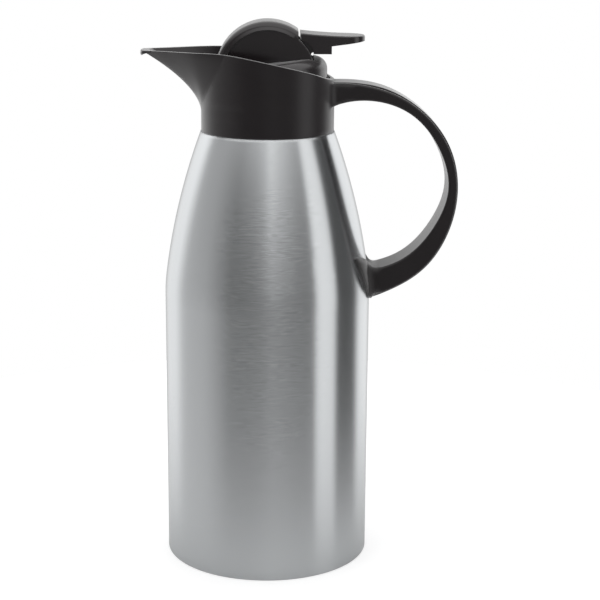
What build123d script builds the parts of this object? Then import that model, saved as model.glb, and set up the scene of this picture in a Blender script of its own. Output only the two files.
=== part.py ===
"""Thermal carafe: steel vacuum flask, moulded pouring collar with handle, and a
screw-in stopper whose thumb lever lifts a spring-loaded pouring valve.

Millimetres.  +Z is up, the origin is the middle of the foot ring on the table,
the spout points to -X and the handle to +X.
"""
import os
from math import asin, cos, degrees, radians, sin, sqrt

from build123d import *

# ---------------------------------------------------------------- steel flask
BASE_R = 59.0            # outside of the straight wall
WALL_TOP = 155.0         # where the straight wall starts to bend in
BEND_R = 100.0           # short bend at the start of the shoulder
BEND_ANGLE = 7.5
SHOULDER_R = 372.0       # long sweep of the shoulder
SEAM_Z = 249.2           # joint between steel and collar
SHELL_T = 0.8
FOOT_ROUND = 0.6         # radius on the bottom edge of the shell
SEAM_STEP = 0.35         # the steel stands this far outside the collar
NECK_H = 14.6            # neck that carries the collar, above the seam
BEAD_H = 2.4             # rolled bead that the collar snaps over
BEAD_OUT = 0.5
BEAD_UP = 6.0            # above the seam

LINER_T = 0.7            # inner flask
VACUUM_GAP = 4.2         # between the straight walls
NECK_GAP = 2.6           # between the two necks
LINER_FLOOR = 11.0       # underside of the inner flask
LINER_CORNER = 10.0
FLOOR_CROWN = 2.5        # the floor of the inner flask is pushed up this far
NECKING_DOWN = 23.2      # under the seam, where the inner flask leaves the sweep of the shell
NECK_FOOT_DOWN = 9.2     # under the seam, where its straight neck begins
NECKING_ROUND = 9.0

RECESS_H = 4.0           # hollow under the base
SKIRT_T = 0.8
DIMPLE_R = 9.0           # dimple that holds the evacuation seal
DIMPLE_H = 3.2
DIMPLE_TAPER = 2.0
SEAL_DROP_R = 3.2
SEAL_DROP_H = 1.8
GETTER_R = 7.0
GETTER_H = 1.6
COVER_GAP = 0.5          # round the base cover
BASE_COVER_T = 2.2
BASE_COVER_Z = 1.0
BASE_DISH = 0.6          # hollow ring in the underside of the base cover
BASE_RIM_W = 4.0
SPACER_T = 2.0           # ring that holds the base cover off the bottom plate

# ------------------------------------------------------------ pouring collar
COLLAR_T = 2.4
NECK_FIT = 0.25          # between the collar and the steel neck
LEDGE_T = 2.0            # ledge of the collar that presses on the neck gasket
GASKET_T = 1.3
GASKET_SIDE = 0.4        # the neck gasket is this much narrower than the lip
LEDGE_BACK = 0.6         # the ledge stops this far short of the mouth
COLLAR_CHAMFER = 0.5     # on its lower edge, over the seam
THREAD_IN = 1.2          # the band that takes the stopper's thread stands in
THREAD_BAND_H = 9.0
RIM_H = 45.3             # level stretch of the rim at the spout, above the seam
RIM_DROP = 16.1          # the rim is this much lower beside the handle
SPOUT_LOW_H = 11.3       # lowest point of the spout, above the seam
SPOUT_REACH = 33.4       # how far the spout's lip stands out from the collar
SPOUT_ANGLE = 44.0       # half angle of the spout's root at the rim
SPOUT_BLEND = 0.3        # its root flows into the collar over this share more
SPOUT_SINK = 0.35        # start of that flow, inside the surface of the collar
SPOUT_T = 1.9
SPOUT_CURVE = 1.75       # how the keel sweeps out as it rises
SPOUT_START = 1.5        # first section of the spout above its lowest point
SPOUT_OVER = 2.5         # last section above the rim
SPOUT_STEPS = (0.0, 0.22, 0.45, 0.7, 0.88, 1.0)
# level section of the spout: share of the way out, share of the root's width
SPOUT_PLAN = ((0.16, 0.97), (0.33, 0.86), (0.50, 0.705), (0.68, 0.54), (0.84, 0.41),
              (0.97, 0.30))
# fall of the rim: share of the collar's radius from the axis, share of the drop
RIM_FALL = ((-0.9, 0.0), (-0.53, 0.045), (-0.05, 0.235), (0.36, 0.46), (0.73, 0.73), (1.0, 1.0))

# -------------------------------------------------------------------- handle
HANDLE_W = 23.0
HANDLE_REACH = 108.15    # back of the handle from the axis
HANDLE_TOP_H = 28.3      # top of the handle above the seam
HANDLE_FOOT_Z = 154.7
HANDLE_ROOT_R = 8.0      # blend of its sides into the collar
HANDLE_ROUND = 1.1
# both lines of the loop: share of the reach from the collar's side, share of the height
LOOP_BACK = ((0.105, 1.0), (0.360, 0.980), (0.686, 0.880), (0.911, 0.724), (1.0, 0.499),
             (0.880, 0.240), (0.601, 0.071), (0.336, 0.0), (0.175, -0.016))
LOOP_FRONT = ((0.275, 0.918), (0.607, 0.856), (0.831, 0.706), (0.919, 0.511), (0.814, 0.338),
              (0.551, 0.180), (0.313, 0.132), (0.175, 0.121))
LOOP_FRONT_ROOT = 0.877
HANDLE_WALL = 2.6        # inner wall of the handle's channel
CHANNEL_W = 15.0
RIB_T = 2.0
RIB_SPOTS = (0.16, 0.26, 0.74, 0.82)
STRIP_T = 2.2            # cover strip set into the back of the handle
STRIP_W = 19.0
STRIP_PROUD = 0.7        # it stands this far above the edges of the handle
STRIP_GAP = 0.25
STRIP_ROUND = 0.6

FLANGE_T = 1.2           # flared plate of the handle that lies on the shell
FLARE_R = 5.0            # blend between this plate and the handle
# outline of the plate: out from the side of the handle, up from its foot
FLANGE_SIDE = ((-1.3, -0.8), (6.8, 5.9), (11.1, 11.3), (15.6, 20.5), (17.4, 25.3))
FLANGE_TIP = (17.0, 26.4)
FLANGE_TOP = ((15.9, 26.5), (8.7, 25.0), (1.1, 22.1), (-5.6, 19.2), (-11.5, 18.5))

SCREW_R = 1.75           # handle screw
SCREW_HEAD_R = 3.3
SCREW_HEAD_H = 2.2
SCREW_UP = 10.3          # above the foot of the handle
SCREW_PLAY = 0.2
BRACKET_W = 15.0
BRACKET_H = 9.0
BRACKET_T = 1.4
BRACKET_BOSS_R = 3.6
BRACKET_BOSS_L = 4.0
FOOT_GRIP = 3.0          # plastic between the boss and the screw's head

# ------------------------------------------------------------------- stopper
LID_PLAY = 0.3           # stopper above the collar's ledge
PLUG_CLEAR = 1.0         # plug inside the steel neck
PLUG_L = 40.1            # plug under its flange
PLUG_WALL = 4.4
PLUG_FLOOR = 2.5
PLUG_NOSE = 2.0          # bevel on the bottom edge of the plug
SEAT_R = 11.5            # pouring hole
SEAT_LIP_T = 1.4
SEAT_LIP_H = 0.8
GASKET_H = 8.4           # lip gasket round the plug
GASKET_DEEP = 2.0
GASKET_CLEAR = 0.2       # to the steel neck
GASKET_WEB = 0.4         # the gasket between its lips is this far inside the plug
GASKET_UP = 16.0         # above the bottom of the plug
THREAD_CLEAR = 0.6
SKIRT_WALL = 2.2
SKIRT_H = 9.7
WINDOW_W = 20.0          # opening that lets the coffee out to the spout
WINDOW_H = 6.0
DECK_T = 2.2             # deck that closes the wet chamber
DECK_EDGE = 0.4          # it stops this far inside the flange
DECK_LIP_T = 1.8         # ring under it that centres it in the skirt
DECK_LIP_H = 2.5
DECK_RIB_T = 1.6
DECK_RIB_H = 4.0
CHAMBER_CLEAR = 0.15     # between the deck's ring and the skirt
GUIDE_WALL = 2.6         # guide tube of the stem
GUIDE_DOWN = 17.0
GUIDE_UP = 2.6

COVER_T = 2.0            # rounded cover of the stopper
COVER_H = 8.5            # its sloping top above the deck, at the axis
COVER_SLOPE = 6.2        # degrees, down towards the spout
COVER_ROUND = 7.0
COVER_SCREW_R = 1.25
COVER_SCREW_HEAD_R = 2.4
COVER_SCREW_HEAD_H = 1.6
COVER_SCREW_L = 8.0
COVER_SCREW_ANGLE = 50.0
COVER_BOSS_R = 3.2
BOSS_SINK = 0.25         # the screw bosses stand this far into the cover's wall
SCREW_HOLE = 0.1         # round the screws in deck and ears
HEAD_SINK = 0.3          # round the screw heads in the deck

DOME_BACK = 4.0          # front of the dome behind the edge of the cover
DOME_UP = 1.7            # centre of its round outline above the deck
DOME_W = 30.0
DOME_GAP = 0.3           # round it in the cover
DOME_CROWN_T = 2.4
DOME_CHEEK_T = 1.6
DOME_ROUND = 3.4
CHEEK_STEP = 3.1         # the cheeks behind the notch are this much lower
CHEEK_ROUND = 0.7
NOTCH_X = 17.0           # rear end of the crown
SPRING_SEAT_T = 2.4      # boss under the crown that the spring presses on
SPRING_SEAT_R = 8.0
EAR_T = 2.0              # ears of the dome, held between deck and cover

# --------------------------------------------------------------- thumb lever
PIVOT_X = 15.0
PIVOT_UP = 6.3           # above the dome's centre
PIN_R = 1.5
PIN_PLAY = 0.05
PIN_SHORT = 0.8          # each end of the pin inside the face of the cheek
BOSS_R = 4.0
BOSS_IN = 2.1            # bosses inside the dome's cheeks
SIDE_PLAY = 0.3
HUB_T = 2.6
LEVER_W = 26.0
LEVER_L = 36.1
LEVER_GAP = 1.2          # notch between the crown and the lever
LEVER_STEP = 0.8         # top of the lever under the crown, at the notch
LEVER_DISH = 1.7         # where the thumb presses, under the lever's top
LEVER_TIP_T = 3.0
LEVER_WALL = 2.0
LEVER_ROUND = 0.8
LEVER_PLAN_R = 11.0      # rounded corners of its end
BLOCK_OVER = 2.2         # underside of the block above the cover
BLOCK_L = 10.0
BLOCK_H = 4.3            # its underside below that of the plate
ARM_GAP = 2.5            # front of the arm behind the stem's head
ARM_UNDER = 1.0          # its top under the nose of the plate
TINE_W = 3.7             # fork
TINE_GAP = 0.8           # beside the stem
PAD_R = 2.0
PAD_PLAY = 0.3           # between the fork and the stem's head

# --------------------------------------------------------------------- valve
STEM_R = 2.5
STEM_PLAY = 0.1
HEAD_R = 7.0
HEAD_T = 2.0
HEAD_UP = 1.0            # underside of the head above the lever's pin
SPIGOT_R = 3.8
SPIGOT_H = 2.5
BEVEL = 0.5              # on the ends of stem and spigot
VALVE_OVER = 1.3         # the washer reaches this far past the seat's lip
VALVE_SEAL_T = 2.2
VALVE_DISC_T = 2.0
VALVE_HUB_H = 5.2
VALVE_PLAY = 0.1
NUT_R = 5.0
NUT_H = 2.4
STEM_SEAL_W = 1.7
STEM_SEAL_H = 1.9
STEM_SEAL_CLEAR = 0.08
WIRE_R = 0.6
SPRING_R = 5.1           # mean radius of the coils
SPRING_TURNS = 6

# ---------------------------------------------------------------- worked out
bend_z = WALL_TOP + BEND_R * sin(radians(BEND_ANGLE))
shoulder_end = degrees(asin(sin(radians(BEND_ANGLE)) + (SEAM_Z - bend_z) / SHOULDER_R))
necking_angle = degrees(asin(sin(radians(BEND_ANGLE))
                             + (SEAM_Z - NECKING_DOWN - bend_z) / SHOULDER_R))
seam_r = (BASE_R - BEND_R * (1 - cos(radians(BEND_ANGLE)))
          - SHOULDER_R * (cos(radians(BEND_ANGLE)) - cos(radians(shoulder_end))))
collar_r = seam_r - SEAM_STEP
bore_r = collar_r - COLLAR_T
neck_r = bore_r - NECK_FIT
liner_neck_r = neck_r - SHELL_T - NECK_GAP
mouth_r = liner_neck_r - LINER_T
lip_z = SEAM_Z + NECK_H
ledge_z = lip_z + LINER_T + GASKET_T
lid_z = ledge_z + LEDGE_T + LID_PLAY
rim_z = SEAM_Z + RIM_H
spout_low = SEAM_Z + SPOUT_LOW_H
handle_top = SEAM_Z + HANDLE_TOP_H
screw_z = HANDLE_FOOT_Z + SCREW_UP
thread_r = bore_r - THREAD_IN
plug_r = mouth_r - PLUG_CLEAR
plug_z = lid_z - PLUG_L
chamber_r = plug_r - PLUG_WALL
flange_r = thread_r - THREAD_CLEAR
skirt_in = flange_r - SKIRT_WALL
deck_z = lid_z + SKIRT_H
cover_z = deck_z + DECK_T
cover_mid = cover_z + COVER_H
seat_z = plug_z + PLUG_FLOOR + SEAT_LIP_H
gasket_z = plug_z + GASKET_UP
dome_z = cover_z + DOME_UP
dome_r = flange_r - DOME_BACK
cheek_r = dome_r - CHEEK_STEP
cheek_in = DOME_W / 2 - DOME_CHEEK_T      # inner face of a cheek from the middle
opening_x = sqrt(cheek_r ** 2 - (cover_mid - dome_z) ** 2) + DOME_GAP
spring_top = dome_z + dome_r - DOME_CROWN_T - SPRING_SEAT_T
pivot_z = dome_z + PIVOT_UP
pin_half = DOME_W / 2 - PIN_SHORT
head_z = pivot_z + HEAD_UP
boss_x = BASE_R + BRACKET_BOSS_L          # face of the bracket's boss
head_x = boss_x + FOOT_GRIP               # under the head of the handle screw
boss_ring = flange_r - COVER_T - COVER_BOSS_R + BOSS_SINK
lever_front, lever_end = NOTCH_X + LEVER_GAP, NOTCH_X + LEVER_GAP + LEVER_L
lever_top = dome_z + sqrt(dome_r ** 2 - NOTCH_X ** 2) - LEVER_STEP
block_x = opening_x - DOME_GAP            # front of the lever's block
block_z = cover_mid + block_x * sin(radians(COVER_SLOPE)) + BLOCK_OVER


def save(name, shape):
    """Write one piece to parts/NAME.step."""
    export_step(shape, f"parts/{name}.step")


def turned(*edges):
    """Solid of revolution about +Z from a closed outline in the XZ plane."""
    return revolve(Plane.XZ * make_face(list(edges)), Axis.Z)


def turned_points(*points):
    """Solid of revolution from the corners of its half section, as (radius, z)."""
    return revolve(Plane.XZ * make_face(Polyline(*points, close=True)), Axis.Z)


def ring(inner, outer, low, high):
    """Plain ring about +Z."""
    return turned_points((inner, low), (outer, low), (outer, high), (inner, high))


def disc(radius, low, high):
    """Plain disc about +Z."""
    return Pos(0, 0, low) * extrude(Circle(radius), high - low)


def slab(outline, width):
    """Extrude a face drawn in the XZ plane by half the width to each side of Y = 0."""
    return extrude(Plane.XZ * outline, width / 2, both=True)


def bar(x0, x1, y0, y1, z0, z1):
    """Block between two corners."""
    block = Box(x1 - x0, y1 - y0, z1 - z0)
    return Pos((x0 + x1) / 2, (y0 + y1) / 2, (z0 + z1) / 2) * block


def cross_rod(radius, x, z, y0, y1):
    """Round rod along Y between two values of y."""
    return Pos(x, (y0 + y1) / 2, z) * (Rot(90, 0, 0) * Cylinder(radius, y1 - y0))


def screw(radius, head_r, head_h, length):
    """Pan-head screw along +Z; the underside of its head is at Z = 0."""
    body = turned_points((0, -head_h), (0.7 * head_r, -head_h), (head_r, -0.6 * head_h),
                         (head_r, 0), (radius, 0), (radius, length), (0, length))
    return body - Pos(0, 0, -head_h) * Box(3 * head_r, 0.25 * head_r, 0.8 * head_h)


# ------------------------------------------------------------------ the flask
def body_side(inset, start_z, end_angle=shoulder_end):
    """Side of the flask, inset from the outer surface: wall, bend and shoulder."""
    wall = Line((BASE_R - inset, start_z), (BASE_R - inset, WALL_TOP))
    bend = JernArc(wall @ 1, (0, 1), BEND_R - inset, BEND_ANGLE)
    shoulder = JernArc(bend @ 1, bend % 1, SHOULDER_R - inset, end_angle - BEND_ANGLE)
    return [wall, bend, shoulder]


def shell_form(grown, low):
    """Solid with the outside of the shell, grown by this much, from this height up."""
    side = body_side(-grown, low)
    top = side[-1] @ 1
    close = Polyline(top, (0, top.Y), (0, low), (BASE_R + grown, low))
    return turned(*side, close)


def around_shell(grown):
    """Upper part of the shell's form, where the handle meets it."""
    return shell_form(grown, WALL_TOP - BASE_R)


def outer_shell():
    """Drawn steel shell with its neck and the bead that the collar snaps over."""
    side = body_side(0, FOOT_ROUND)
    top = side[-1] @ 1
    neck_in = neck_r - SHELL_T
    outer = Polyline(top, (neck_r, top.Y), (neck_r, lip_z), (neck_in, lip_z))
    inside = body_side(SHELL_T, 0)
    under = inside[-1] @ 1
    inner = Polyline((neck_in, lip_z), (neck_in, under.Y), under)
    foot = Line((BASE_R - SHELL_T, 0), (BASE_R - FOOT_ROUND, 0))
    round_off = JernArc(foot @ 1, (1, 0), FOOT_ROUND, 90)
    shell = turned(*side, outer, inner, *inside, foot, round_off)
    bead_z = SEAM_Z + BEAD_UP
    bead = turned_points((neck_in, bead_z), (neck_r + BEAD_OUT, bead_z + BEAD_H / 2),
                         (neck_in, bead_z + BEAD_H))
    return shell + bead


def liner_outline(inset):
    """Half section of the inner flask, inset from its outside, closed on the axis."""
    gap = SHELL_T + VACUUM_GAP + inset
    wall_r = BASE_R - gap
    floor_z = LINER_FLOOR + inset
    neck_foot = SEAM_Z - NECK_FOOT_DOWN
    side = body_side(gap, floor_z, necking_angle)
    start = side[-1] @ 1
    throat_r = liner_neck_r - inset
    throat = Polyline(start, (throat_r, neck_foot), (throat_r, lip_z), (0, lip_z),
                      (0, floor_z + FLOOR_CROWN))
    floor = ThreePointArc((0, floor_z + FLOOR_CROWN), (wall_r / 3, floor_z + 0.8 * FLOOR_CROWN),
                          (0.7 * wall_r, floor_z))
    edge = Line((0.7 * wall_r, floor_z), (wall_r, floor_z))
    face = make_face([*side, throat, floor, edge])
    face = fillet(face.vertices().sort_by_distance((wall_r, floor_z))[0], LINER_CORNER - inset)
    face = fillet(face.vertices().sort_by_distance((start.X, start.Y))[0], NECKING_ROUND - inset)
    neck = face.vertices().sort_by_distance((throat_r, neck_foot))[0]
    return fillet(neck, NECKING_ROUND + inset)


def inner_flask():
    """Inner steel flask; the lip at its mouth is welded to the neck of the shell."""
    flask = revolve(Plane.XZ * liner_outline(0), Axis.Z)
    hollow = revolve(Plane.XZ * liner_outline(LINER_T), Axis.Z)
    lip = ring(mouth_r, neck_r, lip_z, lip_z + LINER_T)
    return flask - hollow + lip


def bottom_plate():
    """Pressed base of the shell: a skirt, a recess and the dimple for the seal."""
    r = BASE_R - SHELL_T
    top = RECESS_H + SHELL_T
    wide, narrow = DIMPLE_R, DIMPLE_R - DIMPLE_TAPER
    return turned_points(
        (0, RECESS_H + DIMPLE_H), (narrow, RECESS_H + DIMPLE_H), (wide, RECESS_H),
        (r - SKIRT_T, RECESS_H), (r - SKIRT_T, 0), (r, 0), (r, top),
        (wide, top), (narrow, top + DIMPLE_H), (0, top + DIMPLE_H))


def evacuation_seal():
    """Bead of solder glass that closes the vacuum, in the roof of the dimple."""
    roof = RECESS_H + DIMPLE_H
    r, low = SEAL_DROP_R, roof - SEAL_DROP_H
    return turned_points((0, roof), (r, roof), (0.8 * r, roof - 0.6 * SEAL_DROP_H),
                         (0.45 * r, low), (0, low))


def getter():
    """Getter pill on the bottom plate, in the vacuum."""
    low = RECESS_H + SHELL_T
    return Pos((DIMPLE_R + BASE_R) / 2, 0, low + GETTER_H / 2) * Cylinder(GETTER_R, GETTER_H)


def base_cover():
    """Moulded cover over the evacuation seal, with a raised rim and centre pad."""
    r = BASE_R - SHELL_T - SKIRT_T - COVER_GAP
    z = BASE_COVER_Z
    spacer_in = DIMPLE_R + SPACER_T
    plate = disc(r, z, z + BASE_COVER_T)
    dish = ring(0.45 * r, r - BASE_RIM_W, z, z + BASE_DISH)
    return plate - dish + ring(spacer_in, spacer_in + SPACER_T, z + BASE_COVER_T, RECESS_H)


# ------------------------------------------------------- collar with its spout
def spout_section(z, inset):
    """Level section through the spout, closed inside the collar."""
    rise = max(z - 1.1 * inset - spout_low, 0) / (rim_z - spout_low)
    r = collar_r - inset
    angle = radians(SPOUT_ANGLE * min(rise, 1.0) ** 0.6)
    x0, w = -r * cos(angle), r * sin(angle)
    reach = r + 0.4 * inset + SPOUT_REACH * rise ** SPOUT_CURVE + x0
    side = [(x0 - reach * out, w * wide) for out, wide in SPOUT_PLAN]
    root, root_r = angle * (1 + SPOUT_BLEND), r - SPOUT_SINK
    side.insert(0, (-root_r * cos(root), root_r * sin(root)))
    ends = ((-sin(root), -cos(root)), (side[-1][0] - side[-2][0], side[-1][1] - side[-2][1]))
    line = Spline(*side, tangents=ends)
    far = line.mirror(Plane.XZ)
    tip = ThreePointArc(line @ 1, (x0 - reach, 0), far @ 1)
    back = Polyline(far @ 0, (0, -w), (0, w), line @ 0)
    return Pos(0, 0, z) * make_face([line, tip, far, back])


def spout_form(inset):
    """The beak of the spout, swept up its keel past the rim."""
    low = spout_low + SPOUT_START + inset
    span = rim_z + SPOUT_OVER - low
    return loft([spout_section(low + span * s, inset) for s in SPOUT_STEPS])


def above_rim():
    """Everything above the rim, which dips from the spout down to the handle."""
    r = collar_r
    fall = [(r * x, rim_z - RIM_DROP * z) for x, z in RIM_FALL]
    line = Spline(*fall, tangents=((1, 0), (1, -0.35)))
    level = Line((-3 * r, rim_z), line @ 0)
    over = Polyline(line @ 1, (3 * r, rim_z - RIM_DROP), (3 * r, rim_z + 2 * r),
                    (-3 * r, rim_z + 2 * r), (-3 * r, rim_z))
    return slab(make_face([level, line, over]), 4 * r)


def collar_bore():
    """Inside of the collar: neck, snap groove, ledge, thread band and bowl."""
    neck, top = neck_r + NECK_FIT, ledge_z + LEDGE_T
    ledge_in = mouth_r + LEDGE_BACK
    band = top + THREAD_BAND_H
    groove = SEAM_Z + BEAD_UP - NECK_FIT
    groove_top = groove + BEAD_H + 2 * NECK_FIT
    over = rim_z + COLLAR_T
    return turned_points(
        (0, SEAM_Z - 1), (neck, SEAM_Z - 1), (neck, groove),
        (neck + BEAD_OUT, (groove + groove_top) / 2), (neck, groove_top), (neck, ledge_z),
        (ledge_in, ledge_z), (ledge_in, top), (thread_r, top), (thread_r, band),
        (bore_r, band + THREAD_IN), (bore_r, over), (0, over))


# ------------------------------------------------------------------ the handle
def on_loop(points):
    """Points of the handle's loop from their shares of its reach and height."""
    span, height = HANDLE_REACH - collar_r, handle_top - HANDLE_FOOT_Z
    return [(collar_r + span * u, HANDLE_FOOT_Z + height * v) for u, v in points]


def handle_back():
    """Outer line of the handle, from the collar round to its foot."""
    root = (collar_r - 2 * COLLAR_T, handle_top)
    return Spline(root, *on_loop(LOOP_BACK), tangents=((1, 0), (-1, -0.15)))


def handle_front():
    """Inner line of the handle, round the finger gap."""
    root = on_loop([(0, LOOP_FRONT_ROOT)])[0]
    return Spline((collar_r - 2 * COLLAR_T, root[1]), *on_loop(LOOP_FRONT))


def between(front, back):
    """Face between the inner and the outer line of the handle."""
    return make_face([front, Line(front @ 1, back @ 1), back, Line(back @ 0, front @ 0)])


def moved_in(line, amount):
    """The line moved towards the inside of the handle's loop."""
    spots = [i / 9 for i in range(10)]
    steps = [(line @ s, line % s) for s in spots]
    return Spline(*[(p.X + t.Y * amount, p.Y - t.X * amount) for p, t in steps])


def along_x(radius, x0, x1):
    """Round bar along X on the axis of the handle screw."""
    return Pos((x0 + x1) / 2, 0, screw_z) * (Rot(0, 90, 0) * Cylinder(radius, x1 - x0))


def near_foot():
    """Room round the foot of the handle."""
    middle, half = HANDLE_FOOT_Z + BASE_R / 8, BASE_R / 1.8
    return bar(BASE_R / 2, 1.5 * BASE_R, -BASE_R, BASE_R, middle - half, middle + half)


def flange_outline():
    """Outline of the flared plate, stood through the shell along X."""
    def place(points):
        return [(HANDLE_W / 2 + out, HANDLE_FOOT_Z + up) for out, up in points]
    side = Spline(*place(FLANGE_SIDE))
    top = Spline(*place(FLANGE_TOP))
    half = [side, ThreePointArc(side @ 1, place([FLANGE_TIP])[0], top @ 0), top]
    other = [edge.mirror(Plane.YZ) for edge in half]
    outline = make_face([*half, *other, Line(other[0] @ 0, side @ 0)])
    return extrude(Plane.YZ * outline, 2 * BASE_R)


def handle_blank():
    """Handle before its edges are rounded and before it is hollowed."""
    return slab(between(handle_front(), moved_in(handle_back(), STRIP_PROUD)), HANDLE_W)


def handle_form():
    """Handle with rounded long edges."""
    blank = handle_blank()
    long_edges = blank.edges().filter_by(lambda e: e.length > 2 * BASE_R)
    return fillet(long_edges, HANDLE_ROUND)


def near_root():
    """Room round the root of the handle at the collar."""
    return bar(0, collar_r + 1.5 * HANDLE_ROOT_R, -HANDLE_W, HANDLE_W, SEAM_Z, rim_z)


def blended_root():
    """Outside of the collar with the root of the handle blended into it."""
    base = disc(collar_r, SEAM_Z, rim_z + COLLAR_T)
    base = chamfer(base.edges().sort_by(Axis.Z)[0], COLLAR_CHAMFER)
    root = base + (handle_blank() & near_root())
    half, inside = HANDLE_W / 2, collar_r - 0.01
    sides = root.edges().filter_by(lambda e: e.bounding_box().size.Z > half / 2
                                   and abs(abs(e.center().Y) - half) < 0.01
                                   and e.center().X < inside)
    root = fillet(sides, HANDLE_ROOT_R)
    rims = root.edges().filter_by(lambda e: abs(e.center().Y) > 0.9 * half
                                  and e.center().X > collar_r / 2
                                  and e.bounding_box().size.X > e.bounding_box().size.Z
                                  and SEAM_Z + COLLAR_T < e.center().Z < rim_z)
    return fillet(rims, HANDLE_ROUND)


def flared_handle():
    """Handle with the flared plate at its foot, blended into it and cut to its outline."""
    near, handle = near_foot(), handle_form()
    joined = (handle & near) + (around_shell(FLANGE_T) & near)
    plate_x = BASE_R + FLANGE_T + 0.1
    seam = joined.edges().filter_by(lambda e: e.bounding_box().max.X < plate_x
                                    and e.length < HANDLE_W and abs(e.center().Y) < HANDLE_W / 1.9)
    joined = fillet(seam, FLARE_R)
    spare = around_shell(FLANGE_T + FLARE_R + 0.3) & near
    return joined - (spare - flange_outline()) + (handle - near)


def handle_channel():
    """Hollow of the handle behind the cover strip, less its ribs and screw tower."""
    back = handle_back()
    floor = moved_in(handle_front(), -HANDLE_WALL)
    hollow = slab(between(floor, back), CHANNEL_W)
    for spot in RIB_SPOTS:
        p, d = back @ spot, back % spot
        across = Plane(origin=(p.X, 0, p.Y), x_dir=(d.X, 0, d.Y), z_dir=(0, 1, 0))
        hollow = hollow - across * Box(RIB_T, 2 * HANDLE_W, CHANNEL_W)
    half = CHANNEL_W / 2
    tower = bar(0, head_x, -half, half, 0, screw_z + SCREW_HEAD_R + SCREW_PLAY)
    root = disc(collar_r, SEAM_Z, rim_z)
    keep = around_shell(HANDLE_WALL) + disc(collar_r + HANDLE_WALL, SEAM_Z, rim_z) + tower
    rebate = slab(between(moved_in(back, STRIP_T), back), STRIP_W + 2 * STRIP_GAP)
    return hollow - keep + (rebate - root)


def foot_pocket():
    """Room in the foot of the handle for the bracket and its screw."""
    play = SCREW_PLAY
    half_w, half_h = BRACKET_W / 2 + play, BRACKET_H / 2 + play
    seat = around_shell(BRACKET_T + play) & bar(0, 2 * BASE_R, -half_w, half_w,
                                                screw_z - half_h, screw_z + half_h)
    boss = along_x(BRACKET_BOSS_R + play, 0, boss_x + play)
    hole = along_x(SCREW_R + play, 0, head_x + play)
    head = along_x(SCREW_HEAD_R + 2 * play, head_x, 2 * BASE_R)
    return seat + boss + hole + head


def collar_and_handle():
    """Collar, spout and handle, moulded in one piece."""
    body = blended_root() + (flared_handle() - near_root())
    body = body + spout_form(0) - around_shell(0) - above_rim()
    return body - handle_channel() - foot_pocket() - collar_bore() - spout_form(SPOUT_T)


def handle_cover():
    """Strip set into the back of the handle; it hides the channel and the screw."""
    back = handle_back()
    strip = slab(between(moved_in(back, STRIP_T), back), STRIP_W)
    proud = strip.faces().sort_by(lambda f: f.center().X)[-1]
    long_edges = proud.edges().filter_by(lambda e: e.length > 2 * BASE_R)
    strip = fillet(long_edges, STRIP_ROUND)
    return strip - around_shell(STRIP_GAP) - disc(collar_r + STRIP_GAP, SEAM_Z, rim_z)


def foot_bracket():
    """Clip welded to the shell, with the threaded boss for the handle screw."""
    half_w, half_h = BRACKET_W / 2, BRACKET_H / 2
    plate = around_shell(BRACKET_T) & bar(0, 2 * BASE_R, -half_w, half_w,
                                          screw_z - half_h, screw_z + half_h)
    bracket = plate + along_x(BRACKET_BOSS_R, 0, boss_x) - along_x(SCREW_R, 0, boss_x + 1)
    return bracket - around_shell(0)


def handle_screw():
    """Screw through the foot of the handle into the bracket."""
    one = screw(SCREW_R, SCREW_HEAD_R, SCREW_HEAD_H, FOOT_GRIP + 0.75 * BRACKET_BOSS_L)
    return Pos(head_x, 0, screw_z) * (Rot(0, -90, 0) * one)


def neck_gasket():
    """Gasket between the steel lip and the collar's ledge."""
    inner = mouth_r + LEDGE_BACK + GASKET_SIDE
    return ring(inner, neck_r - GASKET_SIDE, lip_z + LINER_T, ledge_z)


# ------------------------------------------------------------------- stopper
def stopper_body():
    """Moulded plug with the pouring hole in its floor and the window to the spout."""
    p, f = plug_r, flange_r
    groove, floor_z = p - GASKET_DEEP, plug_z + PLUG_FLOOR
    shelf = lid_z + SKIRT_WALL
    lip = SEAT_R + SEAT_LIP_T
    body = turned_points(
        (SEAT_R, plug_z), (p - PLUG_NOSE, plug_z), (p, plug_z + 1.5 * PLUG_NOSE), (p, gasket_z),
        (groove, gasket_z), (groove, gasket_z + GASKET_H), (p, gasket_z + GASKET_H), (p, lid_z),
        (f, lid_z), (f, deck_z), (skirt_in, deck_z), (skirt_in, shelf),
        (chamber_r, shelf - 0.5 * SKIRT_WALL), (chamber_r, floor_z), (lip, floor_z),
        (lip, seat_z), (SEAT_R, seat_z))
    half = WINDOW_W / 2
    return body - bar(-2 * f, -chamber_r, -half, half, shelf, shelf + WINDOW_H)


def stopper_gasket():
    """Silicone gasket with two lips, in the groove of the plug."""
    inner, web = plug_r - GASKET_DEEP, plug_r - GASKET_WEB
    lip = mouth_r - GASKET_CLEAR
    low, high, q = gasket_z, gasket_z + GASKET_H, GASKET_H / 4
    return turned_points(
        (inner, low), (web, low), (lip, low + 0.6 * q), (web, low + 1.4 * q),
        (web, high - 1.9 * q), (lip, high - 1.1 * q), (web, high - 0.3 * q), (web, high),
        (inner, high))


def screw_places():
    """Where the four cover screws stand."""
    a = radians(COVER_SCREW_ANGLE)
    x, y = boss_ring * cos(a), boss_ring * sin(a)
    return [(x, y), (-x, y), (-x, -y), (x, -y)]


def at_screws(radius, low, high):
    """Round bars on the axes of the four cover screws."""
    return Compound(children=[Pos(x, y) * disc(radius, low, high) for x, y in screw_places()])


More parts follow.
